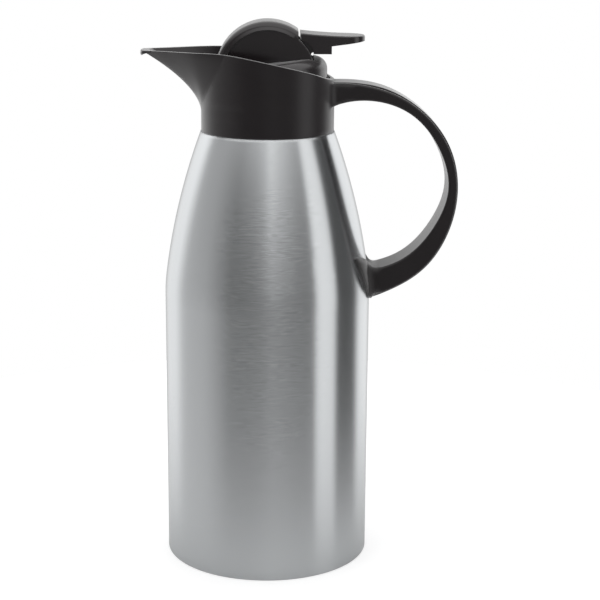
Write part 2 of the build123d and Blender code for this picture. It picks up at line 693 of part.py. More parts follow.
def stopper_deck():
    """Deck over the wet chamber, with the guide tube of the valve stem."""
    outer = skirt_in - CHAMBER_CLEAR
    inner = outer - DECK_LIP_T
    half = WINDOW_W / 2
    lip = ring(inner, outer, deck_z - DECK_LIP_H, deck_z)
    lip = lip - bar(-flange_r, 0, -half, half, deck_z - DECK_LIP_H, deck_z)
    plate = disc(flange_r - DECK_EDGE, deck_z, cover_z) + lip
    low, high = deck_z - GUIDE_DOWN, cover_z + GUIDE_UP
    t = DECK_RIB_T / 2
    ribs = [Rot(0, 0, a) * bar(0, inner - DECK_LIP_T, -t, t, deck_z - DECK_RIB_H, deck_z)
            for a in range(30, 360, 60)]
    tube = disc(STEM_R + GUIDE_WALL, low, high)
    bore = disc(STEM_R + STEM_PLAY, low, high) + disc(STEM_R + STEM_SEAL_W, high - STEM_SEAL_H, high)
    deck = plate + tube + ribs - bore - at_screws(COVER_SCREW_R + SCREW_HOLE, deck_z, cover_z)
    sink = COVER_SCREW_HEAD_R + HEAD_SINK
    return deck - at_screws(sink, deck_z - DECK_RIB_H, deck_z)


def stem_seal():
    """O-ring round the stem, in the top of the guide tube."""
    high = cover_z + GUIDE_UP
    middle = STEM_R + STEM_PLAY / 2 + STEM_SEAL_W / 2
    section = RegularPolygon(STEM_SEAL_W / 2 - STEM_SEAL_CLEAR, 8)
    return revolve(Plane.XZ * (Pos(middle, high - STEM_SEAL_H / 2) * section), Axis.Z)


def cover_form(inset):
    """Rounded drum with a sloping top, inset from the outside of the cover."""
    r = flange_r - inset
    drum = disc(r, cover_z - 2 * inset, cover_z + 2 * r)
    tilt = Pos(0, 0, cover_mid - inset) * Rot(0, -COVER_SLOPE, 0)
    form = drum - tilt * (Pos(0, 0, 2 * r) * Box(4 * r, 4 * r, 4 * r))
    rim = form.edges().filter_by(lambda e: e.bounding_box().max.Z > cover_z + DECK_T)
    return fillet(rim, COVER_ROUND - inset)


def lid_cover():
    """Rounded cover of the stopper, with the opening that the dome stands in."""
    boss_z = cover_z + EAR_T
    bosses = at_screws(COVER_BOSS_R, boss_z, rim_z) & cover_form(COVER_T / 2)
    cover = cover_form(0) - cover_form(COVER_T) + bosses
    half = DOME_W / 2 + DOME_GAP
    opening = bar(-dome_r - DOME_GAP, opening_x, -half, half, cover_z - COVER_T, rim_z)
    opening = fillet(opening.edges().filter_by(Axis.Z).group_by(Axis.X)[0], DOME_ROUND)
    pilot = COVER_SCREW_L - DECK_T
    return cover - opening - at_screws(COVER_SCREW_R, cover_z, cover_z + pilot)


def wheel(radius, width, edge):
    """Disc on edge about the dome's centre, with rounded rims."""
    half = width / 2
    section = make_face(Polyline((0, -half), (radius, -half), (radius, half), (0, half),
                                 close=True))
    if edge:
        section = fillet(section.vertices().group_by(Axis.X)[-1], edge)
    return revolve(Pos(0, 0, dome_z) * section, Axis((0, 0, dome_z), (0, 1, 0)))


def upper_half(x0, x1):
    """Room above the dome's centre between two values of x."""
    return bar(x0, x1, -DOME_W, DOME_W, dome_z, dome_z + 2 * dome_r)


def dome_foot(x, edge):
    """Upright foot under one end of the dome, with rounded corners."""
    face = Pos(x / 2, 0, cover_z) * Rectangle(abs(x), DOME_W)
    end = face.vertices().group_by(Axis.X)[-1 if x > 0 else 0]
    return extrude(fillet(end, edge), DOME_UP)


def dome_cap():
    """Housing of the spring: a crowned disc with flat cheeks, open at the rear."""
    wide = 2 * dome_r
    cap = wheel(dome_r, DOME_W, DOME_ROUND) & upper_half(-wide, NOTCH_X)
    cap = cap + (wheel(cheek_r, DOME_W, CHEEK_ROUND) & upper_half(-wide, wide))
    cap = cap + dome_foot(-dome_r, DOME_ROUND) + dome_foot(cheek_r, CHEEK_ROUND)
    room_r = dome_r - DOME_CROWN_T
    room = wheel(room_r, 2 * cheek_in, 0) + bar(-room_r, room_r, -cheek_in, cheek_in,
                                                cover_z - 1, dome_z)
    doorway = bar(NOTCH_X, wide, -cheek_in, cheek_in, cover_z - 1, dome_z + wide)
    cap = cap - (room - upper_half(NOTCH_X, wide) + doorway)
    boss_face = cheek_in - BOSS_IN
    bosses = cross_rod(BOSS_R, PIVOT_X, pivot_z, -cheek_in, cheek_in)
    cap = cap + (bosses - cross_rod(BOSS_R, PIVOT_X, pivot_z, -boss_face, boss_face))
    seat = disc(SPRING_SEAT_R, spring_top, dome_z + dome_r) & wheel(room_r + 1, DOME_W, 0)
    cap = cap + seat + disc(SPIGOT_R, spring_top - SPIGOT_H, spring_top)
    return cap + dome_ears() - cross_rod(PIN_R, PIVOT_X, pivot_z, -pin_half, pin_half)


def dome_ears():
    """Ears of the dome round the cover screws."""
    ears = []
    for x, y in screw_places():
        out = y + COVER_BOSS_R if y > 0 else y - COVER_BOSS_R
        root = cheek_in + DOME_CHEEK_T / 2 if y > 0 else -cheek_in - DOME_CHEEK_T / 2
        y0, y1 = sorted((root, out))
        ears.append(bar(x - COVER_BOSS_R, x + COVER_BOSS_R, y0, y1, cover_z, cover_z + EAR_T))
    within = disc(flange_r - 1.5 * COVER_T, cover_z, cover_z + EAR_T)
    return (Compound(children=ears) & within) - at_screws(COVER_SCREW_R + SCREW_HOLE, cover_z,
                                                          cover_z + EAR_T)


def cover_screws():
    """Four screws from under the deck into the bosses of the cover."""
    one = screw(COVER_SCREW_R, COVER_SCREW_HEAD_R, COVER_SCREW_HEAD_H, COVER_SCREW_L)
    return Compound(children=[Pos(x, y, deck_z) * one for x, y in screw_places()])


# --------------------------------------------------------------- thumb lever
def lever_pin():
    """Pin that the thumb lever turns on."""
    return cross_rod(PIN_R, PIVOT_X, pivot_z, -pin_half, pin_half)


def thumb_line(drop):
    """Dished line of the lever's top, lowered by this much."""
    start, end = (lever_front, lever_top - drop), (lever_end, lever_top - LEVER_DISH - drop)
    middle = ((lever_front + lever_end) / 2, lever_top - 0.82 * LEVER_DISH - drop)
    return ThreePointArc(start, middle, end)


def lever_blade():
    """Side view of the dished thumb plate with the block under its front."""
    top = thumb_line(0)
    back_x = block_x + BLOCK_L
    under = Polyline(top @ 1, top @ 1 - (0, LEVER_TIP_T), (back_x, block_z + BLOCK_H),
                     (back_x, block_z), (block_x, block_z))
    nose = (lever_front, dome_z + sqrt(cheek_r ** 2 - lever_front ** 2))
    hollow = Bezier((block_x, block_z), (block_x - 0.5, nose[1] - 1), nose)
    return make_face([top, under, hollow, Line(nose, top @ 0)])


def lever_plan(inset):
    """Upright room within the rounded plan of the thumb plate."""
    middle, wide = (lever_front + lever_end) / 2, LEVER_W - 2 * inset
    plan = Pos(middle, 0, block_z - 1) * Rectangle(LEVER_L - 2 * inset, wide)
    plan = fillet(plan.vertices().group_by(Axis.X)[-1], LEVER_PLAN_R - inset)
    return extrude(plan, 2 * dome_r)


def lever_hollow():
    """Hollow of the thumb plate and its block, open below, either side of a rib."""
    top, low = thumb_line(LEVER_WALL), block_z - 1
    sides = Polyline(top @ 1, (lever_end, low), (lever_front, low), top @ 0)
    room = slab(make_face([top, sides]), LEVER_W) & lever_plan(LEVER_WALL)
    front = bar(0, block_x + LEVER_WALL, -LEVER_W, LEVER_W, low, lever_top)
    return room - front - bar(0, 2 * lever_end, -RIB_T / 2, RIB_T / 2, low, lever_top)


def lever_plate():
    """The hollow thumb plate with its upper edges rounded."""
    plate = slab(lever_blade(), LEVER_W) & lever_plan(0)
    low, start = lever_top - 1.5 * LEVER_DISH, lever_front + LEVER_ROUND
    rim = plate.edges().filter_by(lambda e: e.center().Z > low and e.center().X > start)
    return fillet(rim, LEVER_ROUND) - lever_hollow()


def lever_arm():
    """Arm inside the dome, from the front of the block down to the hub on the pin."""
    half, hub = cheek_in - BOSS_IN - SIDE_PLAY, PIN_R + HUB_T
    arm_x, root_x = HEAD_R + ARM_GAP, lever_front + LEVER_WALL / 2
    back_x, nose_z = block_x + LEVER_WALL / 2, dome_z + sqrt(cheek_r ** 2 - lever_front ** 2)
    side = Polyline((arm_x, pivot_z), (arm_x, nose_z - ARM_UNDER), (root_x, nose_z - ARM_UNDER),
                    (root_x, nose_z + ARM_UNDER), (back_x, nose_z + ARM_UNDER),
                    (back_x, block_z + BLOCK_H / 2), (block_x - 1.5, block_z),
                    (PIVOT_X + 0.8 * hub, pivot_z - 0.6 * hub), close=True)
    return slab(make_face(side), 2 * half) + cross_rod(hub, PIVOT_X, pivot_z, -half, half)


def lever_fork():
    """Two tines that reach under the stem's head, with round pads."""
    pad_z = head_z - PAD_PLAY - PAD_R
    fork = []
    for y in (STEM_R + TINE_GAP, -STEM_R - TINE_GAP - TINE_W):
        fork.append(cross_rod(PAD_R, 0, pad_z, y, y + TINE_W))
        fork.append(bar(0, PIVOT_X, y, y + TINE_W, pad_z - PAD_R, pad_z + 0.6 * PAD_R))
    return fork


def thumb_lever():
    """Thumb lever: a dished plate, the block behind the dome and a fork at the stem."""
    lever = lever_plate() + lever_arm() + lever_fork()
    return lever - cross_rod(PIN_R + PIN_PLAY, PIVOT_X, pivot_z, -DOME_W / 2, DOME_W / 2)


# --------------------------------------------------------------------- valve
def valve_stem():
    """Stem with the head that the fork lifts and the spigot that centres the spring."""
    low, top = seat_z - NUT_H, head_z + HEAD_T
    return turned_points(
        (0, low), (STEM_R - BEVEL, low), (STEM_R, low + BEVEL), (STEM_R, head_z), (HEAD_R, head_z),
        (HEAD_R, top), (SPIGOT_R, top), (SPIGOT_R, top + SPIGOT_H - BEVEL),
        (SPIGOT_R - BEVEL, top + SPIGOT_H), (0, top + SPIGOT_H))


def valve_seal():
    """Silicone washer that lies on the lip round the pouring hole."""
    low = seat_z + VALVE_PLAY
    return ring(STEM_R, SEAT_R + SEAT_LIP_T + VALVE_OVER, low, low + VALVE_SEAL_T)


def valve_disc():
    """Stiff disc above the washer, with a hub on the stem."""
    low = seat_z + VALVE_PLAY + VALVE_SEAL_T
    r, top = SEAT_R + SEAT_LIP_T + VALVE_OVER / 2, low + VALVE_DISC_T
    return turned_points((STEM_R, low), (r, low), (r, top), (0.6 * r, top),
                         (STEM_R + VALVE_DISC_T, low + VALVE_HUB_H), (STEM_R, low + VALVE_HUB_H))


def valve_nut():
    """Nut under the washer that holds washer and disc on the stem."""
    low = seat_z + VALVE_PLAY - NUT_H
    flats = extrude(Pos(0, 0, low) * RegularPolygon(NUT_R, 6), NUT_H)
    return flats - disc(STEM_R, low, low + NUT_H)


def valve_spring():
    """Coil spring between the stem's head and the roof of the dome."""
    low, high = head_z + HEAD_T + WIRE_R, spring_top - WIRE_R
    path = Helix((high - low) / SPRING_TURNS, high - low, SPRING_R, center=(0, 0, low))
    start = Plane(origin=path @ 0, z_dir=path % 0)
    return sweep(start * RegularPolygon(WIRE_R, 6), path, is_frenet=True)


pieces = (
    outer_shell, inner_flask, bottom_plate, evacuation_seal, getter, base_cover, neck_gasket,
    collar_and_handle, handle_cover, foot_bracket, handle_screw, stopper_gasket, stopper_body,
    stopper_deck, stem_seal, lid_cover, dome_cap, cover_screws, lever_pin, thumb_lever,
    valve_spring, valve_stem, valve_seal, valve_disc, valve_nut,
)
os.makedirs("parts", exist_ok=True)
for piece in pieces:
    save(piece.__name__, piece())
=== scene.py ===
from math import cos, pi, radians, sin

import bpy
from mathutils import Matrix, Vector


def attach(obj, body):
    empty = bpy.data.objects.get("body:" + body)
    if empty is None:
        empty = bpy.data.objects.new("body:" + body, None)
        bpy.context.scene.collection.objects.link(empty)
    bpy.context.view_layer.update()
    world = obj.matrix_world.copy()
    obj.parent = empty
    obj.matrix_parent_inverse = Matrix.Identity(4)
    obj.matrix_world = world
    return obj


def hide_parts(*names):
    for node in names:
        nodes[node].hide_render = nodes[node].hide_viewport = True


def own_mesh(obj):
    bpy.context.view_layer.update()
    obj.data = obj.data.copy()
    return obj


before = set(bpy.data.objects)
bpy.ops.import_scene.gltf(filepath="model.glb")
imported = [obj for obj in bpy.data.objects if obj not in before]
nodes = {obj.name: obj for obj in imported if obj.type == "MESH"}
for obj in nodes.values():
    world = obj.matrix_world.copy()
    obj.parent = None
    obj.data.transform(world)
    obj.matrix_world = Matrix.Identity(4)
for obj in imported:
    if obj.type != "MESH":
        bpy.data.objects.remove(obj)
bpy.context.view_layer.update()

# ---------------------------------------------------------------------- camera
# A long lens stands about 0.9 m in front of the carafe, a little above its rim,
# and looks down by fourteen degrees.
FOCAL_MM, SENSOR_MM = 96.4, 36.0

eye = Vector((0.0, -0.9077, 0.3768))
yaw, pitch, roll = radians(1.2), radians(14.02), radians(0.39)
ahead = Vector((sin(yaw) * cos(pitch), cos(yaw) * cos(pitch), -sin(pitch)))
level = Vector((cos(yaw), -sin(yaw), 0.0))
upright = level.cross(ahead)
right = cos(roll) * level + sin(roll) * upright
over = cos(roll) * upright - sin(roll) * level
turned = Matrix((right, over, -ahead)).transposed().to_4x4()
scene = bpy.context.scene
lens = bpy.data.cameras.new("camera")
lens.sensor_width = SENSOR_MM
lens.lens = FOCAL_MM
lens.clip_start, lens.clip_end = 0.05, 20.0
camera = bpy.data.objects.new("camera", lens)
camera.matrix_world = Matrix.Translation(eye) @ turned
scene.collection.objects.link(camera)
scene.camera = camera

# ------------------------------------------------------------------ studio room
# A white sweep closes the room behind the carafe. In front the room is dim, with a
# tall soft box to the right, a black flag beside it and a soft light over the camera.

# how bright the walls are, by their bearing: degrees from the camera towards the handle
WALLS = ((-180, 0.35), (-164, 0.60), (-150, 0.92), (-125, 0.98), (-112, 0.50), (-100, 0.43),
         (-75, 0.35), (-63, 0.27), (-53, 0.18), (-43, 0.09), (-30, 0.07), (40, 0.09),
         (53, 0.12), (58, 0.85), (62, 1.00), (80, 0.98), (86, 0.08), (114, 0.10), (127, 0.98),
         (150, 1.00), (164, 0.60), (180, 0.35))
# paper on the table lights the left of the room from below: by bearing, and by rise,
# which is -1 straight down from the carafe and 1 straight up
WING = ((-124, 0.0), (-112, 0.12), (-75, 0.13), (-45, 0.08), (0, 0.05), (50, 0.05), (58, 0.0))
WING_FALL = ((-0.60, 3.60), (-0.33, 1.20), (0.02, 0.60), (0.41, 0.0))
# the soft light over the camera, and the glow on the white sweep behind
GLOW = ((-160, 0.0), (-145, 0.36), (-126, 0.32), (-119, 0.54), (-112, 0.48), (-106, 0.0),
        (-60, 0.0), (-42, 0.06), (-30, 0.13), (-18, 0.19), (-6, 0.36), (5, 0.72), (18, 0.52),
        (30, 0.36), (42, 0.22), (56, 0.12), (60, 0.0), (120, 0.0), (128, 0.26), (145, 0.26),
        (160, 0.0))
GLOW_RISE = ((-0.60, 0.08), (-0.31, 0.12), (0.02, 0.22), (0.41, 1.00), (0.65, 1.50))
# the ceiling and the floor of the room, by rise
CEILING = ((-0.80, 0.7), (-0.55, 0.0), (0.50, 0.0), (0.70, 1.0))
CEILING_WHITE = 1.15
# what a matt surface finds instead of the painted room
ROOM_FILL = 0.90


def add(tree, kind, **values):
    """Place a node and set its properties and its named inputs."""
    node = tree.nodes.new(kind)
    for key, value in values.items():
        if hasattr(node, key):
            setattr(node, key, value)
        else:
            node.inputs[key.replace("_", " ").title()].default_value = value
    return node


def feed(tree, node, *sources):
    """Give a node's first inputs a socket or a plain number each."""
    for slot, source in zip(node.inputs, sources):
        if hasattr(source, "is_output"):
            tree.links.new(source, slot)
        elif source is not None:
            slot.default_value = source
    return node.outputs[0] if node.outputs else None


def math(tree, operation, *sources):
    """One step of arithmetic on sockets and plain numbers."""
    return feed(tree, add(tree, "ShaderNodeMath", operation=operation), *sources)


def ramp(tree, source, stops):
    """A Color Ramp with grey or coloured stops."""
    node = add(tree, "ShaderNodeValToRGB")
    elements = node.color_ramp.elements
    elements.remove(elements[1])
    for i, (place, colour) in enumerate(stops):
        element = elements[0] if i == 0 else elements.new(place)
        element.position = place
        element.color = (colour,) * 3 + (1.0,) if isinstance(colour, float) else (*colour, 1.0)
    return feed(tree, node, source)


def mix(tree, share, first, second):
    """Blend two colours, each a socket or a plain colour."""
    node = add(tree, "ShaderNodeMix", data_type="RGBA")
    for slot, source in ((0, share), (6, first), (7, second)):
        if hasattr(source, "is_output"):
            tree.links.new(source, node.inputs[slot])
        else:
            node.inputs[slot].default_value = source if slot == 0 else (*source, 1.0)
    return node.outputs[2]


def by_bearing(tree, share, stops):
    """Paint by bearing in degrees, from the bearing's share of a whole turn."""
    return ramp(tree, share, [(0.5 + degrees / 360, float(value)) for degrees, value in stops])


def by_rise(tree, half, stops):
    """Paint by rise from -1 to 1, from the rise halved about 0.5."""
    return ramp(tree, half, [(0.5 + rise / 2, float(value)) for rise, value in stops])


scene.view_settings.view_transform = "Standard"
world = bpy.data.worlds.new("studio")
scene.world = world
world.use_nodes = True
# each kind of ray finds its own room by striking it, so the room isn't sampled as a lamp
world.cycles.sampling_method = "NONE"
tree = world.node_tree
tree.nodes.clear()
way = add(tree, "ShaderNodeTexCoord").outputs["Generated"]
split = add(tree, "ShaderNodeSeparateXYZ")
feed(tree, split, way)
forward = math(tree, "MULTIPLY", split.outputs["Y"], -1.0)
bearing = math(tree, "ARCTAN2", split.outputs["X"], forward)
share = math(tree, "MULTIPLY_ADD", bearing, 1 / (2 * pi), 0.5)
half = math(tree, "MULTIPLY_ADD", split.outputs["Z"], 0.5, 0.5)
room = by_bearing(tree, share, WALLS)
for around, up in ((GLOW, GLOW_RISE), (WING, WING_FALL)):
    lit, fades = by_bearing(tree, share, around), by_rise(tree, half, up)
    room = math(tree, "MULTIPLY_ADD", lit, fades, room)
room = mix(tree, by_rise(tree, half, CEILING), room, (CEILING_WHITE,) * 3)
seen = add(tree, "ShaderNodeLightPath")
plain = mix(tree, seen.outputs["Is Glossy Ray"], (ROOM_FILL,) * 3, room)
final = mix(tree, seen.outputs["Is Camera Ray"], plain, (1.0, 1.0, 1.0))
sky = add(tree, "ShaderNodeBackground")
feed(tree, sky, final)
feed(tree, add(tree, "ShaderNodeOutputWorld"), sky.outputs[0])


def lamp(name, place, aim, size, watts):
    """A square soft box at a place, turned towards a point."""
    light = bpy.data.lights.new(name, "AREA")
    light.size = size
    light.energy = watts
    holder = bpy.data.objects.new(name, light)
    direction = Vector(aim) - Vector(place)
    turned = direction.to_track_quat("-Z", "Y").to_matrix().to_4x4()
    holder.matrix_world = Matrix.Translation(place) @ turned
    holder.visible_glossy = False
    scene.collection.objects.link(holder)


lamp("key", place=(-0.9, -0.7, 1.3), aim=(0, 0, 0.2), size=0.7, watts=4.0)
lamp("top", place=(0.1, 0.2, 1.5), aim=(0, 0, 0.25), size=0.8, watts=5.0)

# ----------------------------------------------------------------------- table
# A sheet of white paper under the carafe. It keeps the soft shadow at the foot, and
# away from the foot it is as white as the sweep.
PAPER_R = 0.40
PAPER_EDGES = 96
PAPER_TINT = (0.56, 0.56, 0.56)
PAPER_SEEN = (0.50, 0.50, 0.50, 1.0)
# how much of the table shows in the steel, by the distance from the axis
PAPER_SHOWS = ((0.09, 1.0), (0.12, 0.85), (0.20, 0.50), (0.38, 0.0))


def material(name, rough, metal=0.0, tint=(0.5, 0.5, 0.5)):
    """A new material: itself, its tree and its Principled shader."""
    made = bpy.data.materials.new(name)
    made.use_nodes = True
    shader = made.node_tree.nodes["Principled BSDF"]
    shader.inputs["Roughness"].default_value = rough
    shader.inputs["Metallic"].default_value = metal
    shader.inputs["Base Color"].default_value = (*tint, 1.0)
    return made, made.node_tree, shader


def shape(name, points, faces, made):
    """A piece of one material, from its points and faces."""
    mesh = bpy.data.meshes.new(name)
    mesh.from_pydata(points, [], faces)
    mesh.validate()
    mesh.materials.append(made)
    piece = bpy.data.objects.new(name, mesh)
    scene.collection.objects.link(piece)
    return piece


paper, tree, shader = material("white_paper", 0.9, tint=PAPER_TINT)
path = add(tree, "ShaderNodeLightPath")
shader.inputs["Emission Color"].default_value = PAPER_SEEN
tree.links.new(path.outputs["Is Camera Ray"], shader.inputs["Emission Strength"])
spot = add(tree, "ShaderNodeVectorMath", operation="LENGTH")
feed(tree, spot, add(tree, "ShaderNodeTexCoord").outputs["Object"])
shows = ramp(tree, spot.outputs["Value"], PAPER_SHOWS)
plain_ray = math(tree, "SUBTRACT", 1.0, path.outputs["Is Glossy Ray"])
tree.links.new(math(tree, "MAXIMUM", plain_ray, shows), shader.inputs["Alpha"])
turns = [i * 2 * pi / PAPER_EDGES for i in range(PAPER_EDGES)]
sheet = [(PAPER_R * cos(turn), PAPER_R * sin(turn), 0.0) for turn in turns]
floor = shape("floor", sheet, [tuple(range(PAPER_EDGES))], paper)

# ----------------------------------------------------------------- outer shell
# Spun from stainless sheet and brushed on a lathe: short fine lines run round the
# body, so that what it reflects is drawn out up and down. The collar snaps over its
# neck.
SHELL_PLAIN = (0.685, 0.703, 0.716)
SHELL_TONES = ((0.35, (0.624, 0.641, 0.652)), (0.65, (0.743, 0.762, 0.777)))
SHELL_ROUGH = ((0.30, 0.260), (0.70, 0.250))
# how clearly the lines show: most on the middle of the front and the back, by height
# and by how far it is towards the handle or the spout
BELT = ((0.04, 0.10), (0.10, 1.0), (0.20, 1.0), (0.235, 0.15))
FLANK = ((0.018, 1.0), (0.031, 0.10))
# where the shell's top edge is rolled over
BRIM = ((0.2450, 0.0), (0.2465, 1.0))
BRIM_R = 0.0025


def shader_group(name, takes, gives):
    """A new group of shader nodes: itself, the outputs of its Input and its Output."""
    group = bpy.data.node_groups.new(name, "ShaderNodeTree")
    for title, kind in takes:
        group.interface.new_socket(title, in_out="INPUT", socket_type="NodeSocket" + kind)
    for title, kind in gives:
        group.interface.new_socket(title, in_out="OUTPUT", socket_type="NodeSocket" + kind)
    return group, add(group, "NodeGroupInput").outputs, add(group, "NodeGroupOutput").inputs


def place_group(tree, group, **values):
    """Place a group in a material and set its inputs."""
    node = add(tree, "ShaderNodeGroup", node_tree=group)
    for key, value in values.items():
        slot = node.inputs[key.replace("_", " ").title()]
        if hasattr(value, "is_output"):
            tree.links.new(value, slot)
        else:
            slot.default_value = value
    return node.outputs


# fine lines that run round the Z axis, in patches: 0 to 1 about 0.5, as Tone for the
# colour and as Height for the surface
brushing, given, result = shader_group(
    "brushing", (("Vector", "Vector"), ("Line Length", "Float"), ("Line Pitch", "Float"),
                 ("Patchiness", "Float")),
    (("Tone", "Float"), ("Height", "Float")))
round_scale = math(brushing, "DIVIDE", 1.0, given["Line Length"])
scale = add(brushing, "ShaderNodeCombineXYZ")
feed(brushing, scale, round_scale, round_scale, math(brushing, "DIVIDE", 1.0, given["Line Pitch"]))
stretched = add(brushing, "ShaderNodeVectorMath", operation="MULTIPLY")
feed(brushing, stretched, given["Vector"], scale.outputs[0])
lines = add(brushing, "ShaderNodeTexNoise", Scale=1.0, Detail=1.0, Roughness=0.4)
brushing.links.new(stretched.outputs[0], lines.inputs["Vector"])
spots = add(brushing, "ShaderNodeTexNoise", Scale=0.25, Detail=0.0)
brushing.links.new(stretched.outputs[0], spots.inputs["Vector"])
spread = add(brushing, "ShaderNodeMapRange", From_Min=0.42, From_Max=0.58)
feed(brushing, spread, spots.outputs["Fac"])
least = math(brushing, "SUBTRACT", 1.0, given["Patchiness"])
reach = math(brushing, "MULTIPLY_ADD", spread.outputs[0], given["Patchiness"], least)
line = math(brushing, "SUBTRACT", lines.outputs["Fac"], 0.5)
patched = math(brushing, "MULTIPLY_ADD", line, reach, 0.5)
brushing.links.new(patched, result["Tone"])
brushing.links.new(patched, result["Height"])

# a small radius on every sharp edge, and a mask of those edges, where the plastics paint a
# highlight
rounded_edge, given, result = shader_group(
    "rounded_edge", (("Radius", "Float"),), (("Edge", "Float"), ("Normal", "Vector")))
rounded = add(rounded_edge, "ShaderNodeBevel", samples=6)
rounded_edge.links.new(given["Radius"], rounded.inputs["Radius"])
straight = add(rounded_edge, "ShaderNodeNewGeometry")
across = add(rounded_edge, "ShaderNodeVectorMath", operation="DOT_PRODUCT")
feed(rounded_edge, across, rounded.outputs[0], straight.outputs["Normal"])
turned = add(rounded_edge, "ShaderNodeMapRange", From_Min=1.0, From_Max=0.82)
feed(rounded_edge, turned, across.outputs["Value"])
rounded_edge.links.new(turned.outputs[0], result["Edge"])
rounded_edge.links.new(rounded.outputs[0], result["Normal"])


def bump(tree, shader, height, strength, distance, normal=None):
    """Raise a height on a material's surface."""
    raised = add(tree, "ShaderNodeBump", Strength=strength, Distance=distance)
    tree.links.new(height, raised.inputs["Height"])
    if normal is not None:
        tree.links.new(normal, raised.inputs["Normal"])
    tree.links.new(raised.outputs[0], shader.inputs["Normal"])


def own_coordinates(tree):
    """Places on the piece itself, in metres."""
    return add(tree, "ShaderNodeTexCoord").outputs["Object"]


def wear(made, *names):
    """Give carried-over solids their material."""
    for name in names:
        mesh = nodes[name].data
        mesh.materials.clear()
        mesh.materials.append(made)


steel, tree, shader = material("brushed_steel", 0.25, 1.0)
lines = place_group(tree, brushing, vector=own_coordinates(tree), line_length=0.0050,
                    line_pitch=0.0006, patchiness=0.8)
tone = ramp(tree, lines["Tone"], SHELL_TONES)
place = add(tree, "ShaderNodeSeparateXYZ")
feed(tree, place, own_coordinates(tree))
belt = ramp(tree, place.outputs["Z"], BELT)
flank = ramp(tree, math(tree, "ABSOLUTE", place.outputs["X"]), FLANK)
shown = math(tree, "MULTIPLY", belt, flank)
tree.links.new(mix(tree, shown, SHELL_PLAIN, tone), shader.inputs["Base Color"])
tree.links.new(ramp(tree, lines["Tone"], SHELL_ROUGH), shader.inputs["Roughness"])
shader.inputs["Anisotropic"].default_value = 0.90
shader.inputs["Anisotropic Rotation"].default_value = 0.25
round_z = add(tree, "ShaderNodeTangent", direction_type="RADIAL", axis="Z")
tree.links.new(round_z.outputs[0], shader.inputs["Tangent"])
edge = place_group(tree, rounded_edge, radius=BRIM_R)
rolled = add(tree, "ShaderNodeMix", data_type="VECTOR")
tree.links.new(ramp(tree, place.outputs["Z"], BRIM), rolled.inputs[0])
tree.links.new(add(tree, "ShaderNodeNewGeometry").outputs["Normal"], rolled.inputs[4])
tree.links.new(edge["Normal"], rolled.inputs[5])
depth = math(tree, "MULTIPLY", lines["Height"], shown)
bump(tree, shader, depth, strength=0.40, distance=0.0001, normal=rolled.outputs[1])
wear(steel, "outer_shell")

# ----------------------------------------------------------------- inner flask
# Spun from the same sheet and left as it comes from the tool, with finer and longer
# lines than outside. The bottom plate and the bracket for the handle's screw are
# pressed from it too.
FLASK_TONES = ((0.30, (0.50, 0.50, 0.51)), (0.70, (0.62, 0.62, 0.63)))
FLASK_ROUGH = ((0.30, 0.38), (0.70, 0.28))


def colour_by(tree, shader, pattern, tones, rough):
    """Colour and roughness that follow one pattern."""
    tree.links.new(ramp(tree, pattern, tones), shader.inputs["Base Color"])
    tree.links.new(ramp(tree, pattern, rough), shader.inputs["Roughness"])


drawn, tree, shader = material("drawn_steel", 0.32, 1.0)
lines = place_group(tree, brushing, vector=own_coordinates(tree), line_length=0.020,
                    line_pitch=0.0004, patchiness=0.3)
colour_by(tree, shader, lines["Tone"], FLASK_TONES, FLASK_ROUGH)
bump(tree, shader, lines["Height"], strength=0.08, distance=0.0002)
wear(drawn, "inner_flask", "bottom_plate", "foot_bracket")

# ---------------------------------------------------------- seal and getter
# The pumping hole in the bottom plate is closed by a drop of dark solder glass. The
# getter, a pill of sintered metal, lies in the vacuum and takes up stray gas.
SEAL_TONES = ((0.35, (0.07, 0.09, 0.08)), (0.65, (0.13, 0.15, 0.14)))
SEAL_ROUGH = ((0.3, 0.10), (0.7, 0.24))
GETTER_TONES = ((0.3, (0.12, 0.12, 0.13)), (0.7, (0.30, 0.30, 0.31)))
GETTER_ROUGH = ((0.3, 0.85), (0.7, 0.6))


def speckle(tree, scale, detail):
    """A cloudy pattern through the piece, so many patches to the metre."""
    noise = add(tree, "ShaderNodeTexNoise", Scale=scale, Detail=detail)
    tree.links.new(own_coordinates(tree), noise.inputs["Vector"])
    return noise.outputs["Fac"]


glass, tree, shader = material("solder_glass", 0.15)
colour_by(tree, shader, speckle(tree, scale=900.0, detail=3.0), SEAL_TONES, SEAL_ROUGH)
wear(glass, "evacuation_seal")
sinter, tree, shader = material("getter_metal", 0.7, 1.0)
grains = speckle(tree, scale=3500.0, detail=4.0)
colour_by(tree, shader, grains, GETTER_TONES, GETTER_ROUGH)
bump(tree, shader, grains, strength=0.5, distance=0.0003)
wear(sinter, "getter")

# ---------------------------------------------------------- collar and handle
# Moulded in one piece from black polypropylene, with a fine satin skin. Handling
# and the edge of the mould leave the edges a little smoother, and their colour is painted
# lighter as a highlight. The cover strip closes the channel in the handle's back, and the base
# cover the foot.
BLACK = (0.0075, 0.0048, 0.0058), (0.0090, 0.0062, 0.0072)
# the lighter colour along the edges is a painted highlight
SATIN = dict(rough=(0.31, 0.37), grain=0.0005, cloud=0.012, edge_radius=0.0004,
             painted_edge_highlight=(0.014, 0.012, 0.0125), edge_rough=0.22, ior=1.52, sheen=0.9)
SHEEN_ROUGH = 0.32
# the radius on the collar's edges, and what is added where the mould is eased: round
# the spout, where the handle leaves the collar and at the handle's foot, each with its
# bounds in X and in Z
SHARP_R = 0.0006
EASED = (((-0.070, -0.014), (0.258, 0.286), 0.0045),
         ((0.030, 0.047), (0.250, 0.2755), 0.0030),
         ((0.050, 0.063), (0.150, 0.185), 0.0045))
EASED_SOFT = 0.004

